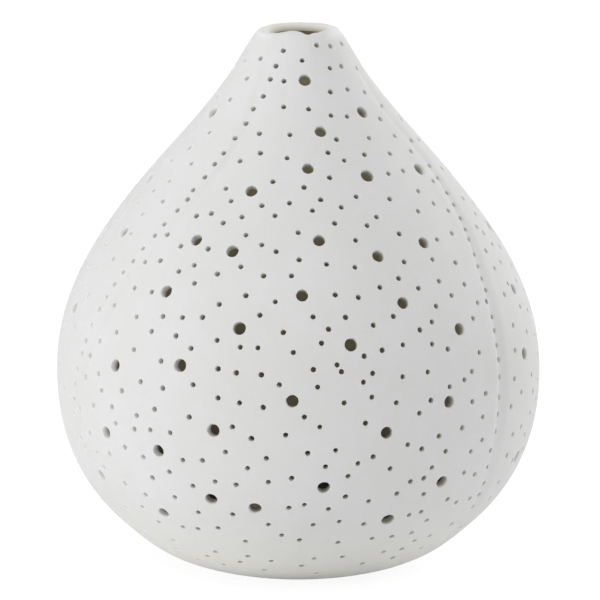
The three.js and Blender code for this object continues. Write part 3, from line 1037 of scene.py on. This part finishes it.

# %% [markdown]
# ## The inside
# Inside, light passes from wall to wall many times and soaks through the thin clay, which leaves
# it a dim olive. Tracing many more bounces could show that, but a painted warm olive with a very
# faint painted glow is much quicker. Lower down the olive gives way to a more neutral grey, and
# painted shade makes it darkest at the foot. Under the lip it is painted darker going down, and a
# brown band just below the mouth is a painted shadow.

# %% The inside
# Painted light and shade inside: olive tint, dark foot, grey under the lip, brown shadow band
painted_olive, painted_olive_cloud = (0.80, 0.775, 0.67, 1), (0.77, 0.745, 0.64, 1)
lower_colour, inner_foot_shade = (0.80, 0.785, 0.765, 1), (0.05, 0.049, 0.047, 1)
under_lip_shade, mouth_shadow = (0.50, 0.49, 0.44, 1), (0.08, 0.066, 0.055, 1)
low_glow, high_glow = (0.07, 0.065, 0.06, 1), (1.0, 0.90, 0.46, 1)
inside_glow_strength = 0.065
lower_fade, inner_foot_shade_fade = (85 * mm, 45 * mm), (38 * mm, 18 * mm)
mouth_shadow_start, mouth_shadow_end = (156 * mm, 163 * mm), (166.0 * mm, 166.3 * mm)
mouth_start, mouth_rise = (165.9 * mm, 166.3 * mm), (lip.y - 2.4 * mm, lip.y + 0.8 * mm)

inner_finish, lip_white, cloud = bisque("bisque inside")
height = inner_finish.axes()[2]
# Painted shade: darker under the lip going down, dark at the foot and in the band below the mouth
lip_shade_to_white = inner_finish.mix(height.eased(*mouth_rise), under_lip_shade, lip_white)
clay_and_painted_shade = inner_finish.layered(
    painted_olive,
    (cloud.eased(0.3, 0.7), painted_olive_cloud),
    (height.eased(*lower_fade), lower_colour),
    (height.eased(*inner_foot_shade_fade), inner_foot_shade),
    (height.eased(*mouth_start), lip_shade_to_white),
    (height.eased(*mouth_shadow_start) * (1 - height.eased(*mouth_shadow_end)), mouth_shadow),
)
inner_finish.set(
    Base_Color=clay_and_painted_shade,
    Emission_Color=inner_finish.mix((height / lip.y).eased(0.2, 1.05), low_glow, high_glow),
    Emission_Strength=inside_glow_strength,
)
for slot, finish in enumerate((face_finish, wall_finish, inner_finish)):
    shade_mesh.materials[slot] = finish.material
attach(shade_body, "shade")
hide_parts("shade")

# %% [markdown]
# ## Turned pieces
# The dish, the tealight's cup, its wax and the tin under its wick are all round. Each is turned
# from a profile with rounded corners, and a rule per piece adds what the hand or the press left.
# A Screw modifier turns a profile too, but it makes every section the same.

# %% Turning a profile
corner_steps = 5
sharp_angle = math.radians(38)


def rounded(corners, steps):
    """A profile through corners of (radius, height, rounding), in millimetres."""
    line = []
    for index, (radius, height, rounding) in enumerate(corners):
        corner = Vector((radius, height))
        if not rounding:
            line.append(corner)
            continue
        before = Vector(corners[index - 1][:2]) - corner
        after = Vector(corners[(index + 1) % len(corners)][:2]) - corner
        start = corner + before.normalized() * rounding
        end = corner + after.normalized() * rounding
        for step in range(steps + 1):
            share = step / steps
            line.append(start.lerp(corner, share).lerp(corner.lerp(end, share), share))
    return line


def divided(line, longest):
    """The same profile with no straight longer than this."""
    fine = []
    for here, there in zip(line, line[1:]):
        count = max(1, math.ceil((there - here).length / longest))
        fine.extend(here.lerp(there, step / count) for step in range(count))
    return [*fine, line[-1]]


def turned(name, rule, corners, longest, columns, steps=corner_steps):
    """A closed body; its corners run up the outside and down the inside."""
    profile = divided(rounded(corners, steps), longest)
    points = []
    rings = []
    for point in profile:
        count = columns if point.x > 0 else 1
        rings.append([len(points) + index for index in range(count)])
        for index in range(count):
            turn = full_turn * index / columns
            radius, height = rule(turn, point) if point.x > 0 else point
            points.append(around_axis(turn, radius, height) * mm)
    faces = []
    pairs = list(zip(rings, rings[1:]))
    if profile[0].x > 0:
        pairs.append((rings[-1], rings[0]))
    for low, high in pairs:
        for index in range(columns):
            following = (index + 1) % columns
            face = [row[at % len(row)] for row in (low, high) for at in (index, following)]
            # A row on the axis has one point, so its quad closes to a triangle
            faces.append(tuple(dict.fromkeys((face[0], face[1], face[3], face[2]))))
    made = mesh_object(name, points, faces)
    made.data.shade_smooth()
    made.data.set_sharp_from_angle(angle=sharp_angle)
    print(name, len(made.data.polygons), "faces")
    return made


def between(height, low, low_ease, high, high_ease):
    """One between two heights, with an easy rise at the lower and fall at the upper."""
    return smooth((height - low) / low_ease) * smooth((high - height) / high_ease)


def dressed(piece, finish, node, body):
    """Give a piece its finish and set it in the place of its solid."""
    piece.data.materials.append(finish.material)
    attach(piece, body)
    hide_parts(node)


# %% [markdown]
# ## The dish
# A small thrown dish keeps the tealight in the middle. It has a foot ring, and fine rings on its
# floor where a finger passed over the turning clay. They could be a bump in the finish. A wave in
# the rule is as short, and lays them as one spiral, which is what a finger leaves.

# %% The dish
floor_from, floor_edge, floor_ease = 2, 19, 2
ring_height, rings_rate = 0.06, 3.4
rim_from, rim_rise, rim_waves, rim_start = 4, 0.05, 2, 1


def thrown(turn, point):
    """Throwing rings on the floor, and a rim that isn't quite level."""
    radius, height = point
    if height > floor_from and radius < floor_edge:
        ring = ring_height * math.sin(radius * rings_rate + turn)
        height += ring * smooth((floor_edge - radius) / floor_ease)
    if height > rim_from:
        height += rim_rise * math.sin(rim_waves * turn + rim_start)
    return radius, height


dish_body = turned("dish_body", thrown, [
    (0, 1.1, 0), (18.0, 1.0, 0.35), (18.5, 0, 0.35), (21.8, 0, 0.6), (21.9, 5.6, 1.1),
    (19.6, 5.6, 1.0), (19.5, 2.6, 0.5), (0, 2.55, 0),
], longest=0.45, columns=120)
dish_finish, _, _ = bisque("bisque dish")
dressed(dish_body, dish_finish, "base_dish", "dish")

# %% [markdown]
# ## The tealight
# A drawn aluminium cup with a rolled rim holds pressed wax. The wax has sunk a little in the middle
# and climbs at the cup's wall. A tin disc with a crimped neck keeps the cotton wick upright. The
# cup's flutes could be a bump in its finish, but moved points give its edge their waves as well.

# %% The cup
flute_zone, cup_wall_from = (4.5, 3, 17.6, 2), 17
flute_depth, flute_count = 0.07, 36
draw_mark_size, draw_mark_stretch, draw_mark_relief = 1.4 * mm, (1, 1, 0.06), 0.03 * mm
dull_size = 7 * mm
dull_metal, bright_metal = (0.76, 0.77, 0.78, 1), (0.84, 0.845, 0.85, 1)


def drawn(turn, point):
    """Shallow flutes on the cup's wall, which the drawing leaves in thin sheet."""
    radius, height = point
    on_wall = between(height, *flute_zone) * (radius > cup_wall_from)
    return radius + flute_depth * on_wall * math.sin(flute_count * turn), height


candle_cup = turned("candle_cup", drawn, [
    (0, 2.75, 0), (9, 2.75, 0.3), (9.6, 2.6, 0.3), (18.6, 2.6, 1.2), (18.6, 17.5, 0.3),
    (19.0, 17.7, 0.25), (19.0, 18.5, 0.35), (18.3, 18.6, 0.3), (18.2, 17.3, 0.3),
    (18.2, 3.0, 0.8), (9.6, 3.0, 0.3), (9, 3.15, 0.3), (0, 3.15, 0),
], longest=0.8, columns=216)
cup_finish = Finish("drawn aluminium")
drawing = cup_finish.grain(draw_mark_size, detail=4, stretch=draw_mark_stretch)
dulled = cup_finish.grain(dull_size, detail=3)
cup_finish.set(
    Base_Color=cup_finish.mix(dulled.eased(0.3, 0.7), dull_metal, bright_metal),
    Metallic=1.0,
    Roughness=0.24 + dulled * 0.16 + drawing * 0.1,
    Normal=cup_finish.relief(drawing, draw_mark_relief),
)
dressed(candle_cup, cup_finish, "tealight_cup", "tealight")

# %% [markdown]
# ## The wax
# The wax fills the cup round the tin. A plain pale face would look like plaster, but paraffin lets
# light in a little way, so it gets a shallow subsurface glow. Its crystals are a noise in its sheen
# and relief.

# %% The wax
wax_top_from, wax_edge, wax_ease = 15.5, 17, 4
wave_height, wave_rate, wave_start = 0.09, 0.35, 3
cast_size, wax_grain_size, wax_relief, light_depth = 4.2 * mm, 0.7 * mm, 0.12 * mm, 1.2 * mm
white_wax, clear_wax = (0.86, 0.845, 0.79, 1), (0.80, 0.775, 0.70, 1)


def pressed(turn, point):
    """A faintly wavy top where the wax was pressed and once warmed."""
    radius, height = point
    if height > wax_top_from:
        place = Vector((math.sin(turn) * radius, math.cos(turn) * radius, wave_start))
        wave = wave_height * noise.noise(place * wave_rate)
        height += wave * smooth((wax_edge - radius) / wax_ease)
    return radius, height


candle_wax = turned("candle_wax", pressed, [
    (1.1, 6.7, 0), (1.9, 6.7, 0), (2.2, 4.0, 0), (6.6, 4.0, 0.2), (6.7, 3.2, 0),
    (17.0, 3.2, 0.5), (17.95, 4.2, 0.6), (17.95, 17.0, 0.25), (17.2, 16.55, 0.5),
    (9.0, 16.4, 2), (2.4, 16.35, 0.6), (1.1, 16.6, 0.2),
], longest=0.6, columns=128)
wax_finish = Finish("wax")
cast = wax_finish.grain(cast_size, detail=4)
crystals = wax_finish.grain(wax_grain_size, detail=3)
wax_finish.set(
    Base_Color=wax_finish.mix(cast.eased(0.3, 0.75), white_wax, clear_wax),
    Roughness=0.36 + crystals * 0.2,
    Subsurface_Weight=0.25,
    Subsurface_Radius=(2.0, 1.6, 1.1),
    Subsurface_Scale=light_depth,
    Coat_Weight=cast.eased(0.45, 0.8) * 0.15,
    Normal=wax_finish.relief(crystals * 0.4 + cast * 0.6, wax_relief),
)
dressed(candle_wax, wax_finish, "tealight_wax", "tealight")

# %% [markdown]
# ## The tin under the wick
# It is stamped from tinned sheet: a flat disc with a raised ring, and a neck that three dents pinch
# on the wick. Tin sets in large crystals. A picture of them would have to be wrapped round the
# neck, while a cell pattern in the roughness needs only the place.

# %% The tin under the wick
dent_zone, neck_within = (4.4, 0.5, 6.1, 0.5), 2.2
dent_depth, dent_count = 0.16, 3
tin_corner_steps = 3
crystal_size, tarnish_size, tin_relief = 1.1 * mm, 2.2 * mm, 0.02 * mm
new_tin, dull_tin = (0.66, 0.67, 0.68, 1), (0.52, 0.52, 0.5, 1)


def crimped(turn, point):
    """Three dents that pinch the neck on the wick."""
    radius, height = point
    on_neck = between(height, *dent_zone) * (radius < neck_within)
    return radius - dent_depth * on_neck * max(0, math.cos(dent_count * turn)), height


wick_holder = turned("wick_holder", crimped, [
    (1.25, 3.2, 0), (5.9, 3.2, 0.1), (6.1, 3.3, 0.1), (6.1, 3.55, 0.1), (4.6, 3.6, 0.2),
    (4.2, 3.75, 0.2), (3.4, 3.75, 0.2), (3.0, 3.6, 0.2), (1.75, 3.6, 0.3), (1.55, 6.3, 0.1),
    (1.25, 6.3, 0.05),
], longest=0.35, columns=60, steps=tin_corner_steps)
tin_finish = Finish("tinned sheet")
spangle = tin_finish.node(
    "ShaderNodeTexVoronoi", {}, {"Vector": tin_finish.place, "Scale": 1 / crystal_size}
)
tarnish = tin_finish.grain(tarnish_size, detail=3)
tin_finish.set(
    Base_Color=tin_finish.mix(tarnish.eased(0.35, 0.7), new_tin, dull_tin),
    Metallic=1.0,
    Roughness=0.3 + spangle * 0.2 + tarnish * 0.1,
    Normal=tin_finish.relief(tarnish, tin_relief),
)
dressed(wick_holder, tin_finish, "wick_sustainer", "tealight")

# %% [markdown]
# ## The wick
# The wick is waxed cotton, of three strands laid round each other. It stands straight in the wax
# and leans over above it, and its strands part a little at the tip. From far off a plain rod with
# a bump would do, but real strands hold up in a close view, and one loop lays all three.

# %% The wick's strands
wick_foot = 3.2
wick_bend = 17.0
wick_tip = Vector((1.6, 0, 25.0))
strand_radius = 0.4
strand_offset = 0.37
lay_length = 3.4
strand_count = 3
strand_sides = 10
wick_steps = 110
parting, parting_from, parting_length = 0.5, 0.94, 0.06
taper, taper_from, taper_length = 0.35, 0.97, 0.03
wick_sharp_angle = math.radians(50)


def wick_route(share):
    """The middle of the wick, and its lean in the x and z plane."""
    straight = (wick_bend - wick_foot) / (wick_tip.z - wick_foot)
    if share <= straight:
        return Vector((0, 0, wick_foot + (wick_tip.z - wick_foot) * share)), 0.0
    t = (share - straight) / (1 - straight)
    rise = wick_tip.z - wick_bend
    middle = Vector((wick_tip.x * t * t, 0, wick_bend + rise * (t * (1 - t) + t * t)))
    return middle, math.atan2(2 * wick_tip.x * t, rise)


wick_points = []
wick_faces = []
beside = Vector((0, 1, 0))
for strand in range(strand_count):
    first = len(wick_points)
    for step in range(wick_steps + 1):
        share = step / wick_steps
        middle, lean = wick_route(share)
        across = Vector((math.cos(lean), 0, -math.sin(lean)))
        turn = full_turn * (share * (wick_tip.z - wick_foot) / lay_length + strand / strand_count)
        parted = 1 + parting * smooth((share - parting_from) / parting_length)
        out = across * math.cos(turn) + beside * math.sin(turn)
        thinner = 1 - taper * smooth((share - taper_from) / taper_length)
        for side in range(strand_sides):
            angle = full_turn * side / strand_sides
            ring = (across * math.cos(angle) + beside * math.sin(angle)) * strand_radius * thinner
            wick_points.append((middle + out * strand_offset * parted + ring) * mm)
    for step in range(wick_steps):
        low = first + step * strand_sides
        wick_faces.extend(band(low, low + strand_sides, strand_sides))
    wick_faces.append(tuple(first + side for side in reversed(range(strand_sides))))
    last = first + wick_steps * strand_sides
    wick_faces.append(tuple(last + side for side in range(strand_sides)))
candle_wick = mesh_object("candle_wick", wick_points, wick_faces)
candle_wick.data.shade_smooth()
candle_wick.data.set_sharp_from_angle(angle=wick_sharp_angle)
print("the wick has", len(wick_faces), "faces")

# %% [markdown]
# ## The wick's finish
# Cotton that is soaked in wax is smoother and darker than dry cotton, so the wick grows paler and
# rougher from where it leaves the wax. Two finishes would meet there in a line. One finish that
# changes with the height has none.

# %% The wick's finish
fibre_size, fibre_stretch, fibre_relief = 0.16 * mm, (1, 1, 0.25), 0.08 * mm
dry_zone = (17.5 * mm, 22 * mm)
between_fibres, fibre_colour = (0.74, 0.71, 0.62, 1), (0.88, 0.86, 0.8, 1)
dry_colour = (0.9, 0.88, 0.83, 1)

wick_finish = Finish("waxed cotton")
fibres = wick_finish.grain(fibre_size, detail=3, stretch=fibre_stretch)
drier = wick_finish.axes()[2].eased(*dry_zone)
wick_finish.set(
    Base_Color=wick_finish.layered(
        between_fibres, (fibres.eased(0.3, 0.7), fibre_colour), (drier * 0.35, dry_colour)
    ),
    Roughness=0.62 + drier * 0.25,
    Normal=wick_finish.relief(fibres, fibre_relief),
)
dressed(candle_wick, wick_finish, "wick", "tealight")

# %% [markdown]
# ## The stage and the light
# The photograph is of a white piece on plain white, lit from all round and most from the left. A
# pale floor and a white surrounding do that, with one big soft lamp on the left and weaker ones.
# A floor that is only lit would fade to grey away from the lamps, so the camera sees it mostly as
# a glowing sheet.

# %% The floor
floor_radius = 4
floor_sides = 96
sheet_share, sheet_strength = 0.82, 1.1
paper_dark, paper_pale, paper_size = grey(0.955), grey(0.975), 60 * mm
floor_ring = [
    around_axis(full_turn * side / floor_sides, floor_radius, 0) for side in range(floor_sides)
]
floor = mesh_object("floor", floor_ring, [tuple(range(floor_sides))])
floor_finish = Finish("floor")
paper = floor_finish.grain(paper_size)
floor_finish.set(
    Base_Color=floor_finish.mix(paper, paper_dark, paper_pale),
    Roughness=0.9,
    Specular_IOR_Level=0.1,
)
seen = floor_finish.not_bounced()
white_sheet = floor_finish.node(
    "ShaderNodeEmission", {}, {"Color": grey(1.0), "Strength": sheet_strength}
)
diffuse = Value(floor_finish, floor_finish.shader.outputs[0])
lit_floor = floor_finish.node(
    "ShaderNodeMixShader", {}, {0: seen * sheet_share, 1: diffuse, 2: white_sheet}
)
surface = floor_finish.tree.nodes["Material Output"].inputs["Surface"]
floor_finish.plug(surface, lit_floor)
floor.data.materials.append(floor_finish.material)

# %% [markdown]
# ## The white surrounding
# The object is lit evenly from all round at a moderate level. The camera, and what it sees in
# metal, gets plain white instead, so the background stays white without any more light.

# %% The white surrounding
surrounding_level = 0.35
world = bpy.data.worlds.new("white surrounding")
world.use_nodes = True
surrounding = Nodes(world.node_tree)
background = world.node_tree.nodes["Background"]
surrounding.plug(background.inputs["Color"], grey(1.0))
seen = surrounding.not_bounced()
level = surrounding.node("ShaderNodeMix", {}, {0: seen, 2: surrounding_level, 3: 1.0})
surrounding.plug(background.inputs["Strength"], level)
bpy.context.scene.world = world
print("lit from all round at", surrounding_level)

# %% [markdown]
# ## The lamps
# The photograph's shading is brightest on the left and again along the right edge, and even the
# underside is light. So large soft panels stand at both sides, behind and overhead, and a wide flat
# one stands low on the left, where it reaches under the body. All of them face the body's middle.

# %% The lamps
lamp_aim = Vector((0, 0, 80 * mm))
# Name, place, width and height in metres, and power in watts
lamps = [
    ("left, low", (-1.8, -0.9, 0.25), 1.6, 0.4, 16.6),
    ("left, high", (-1.1, -1.3, 1.7), 1.2, 1.2, 7.0),
    ("right, high", (1.1, -1.3, 1.7), 1.2, 1.2, 4.0),
    ("right", (1.8, -0.3, 0.6), 1.2, 1.2, 6.2),
    ("behind right", (1.3, 1.4, 0.8), 1.0, 1.0, 9.9),
    ("overhead", (0.0, 0.1, 1.9), 1.4, 1.4, 8.8),
]
for name, place, across, upright, power in lamps:
    lamp_data = bpy.data.lights.new(name, "AREA")
    lamp_data.shape = "ELLIPSE"
    lamp_data.size = across
    lamp_data.size_y = upright
    lamp_data.energy = power
    lamp = in_scene(name, lamp_data)
    lamp.location = place
    face_along(lamp, lamp_aim - lamp.location)
bpy.context.scene.view_settings.view_transform = "Standard"
print(len(lamps), "lamps")
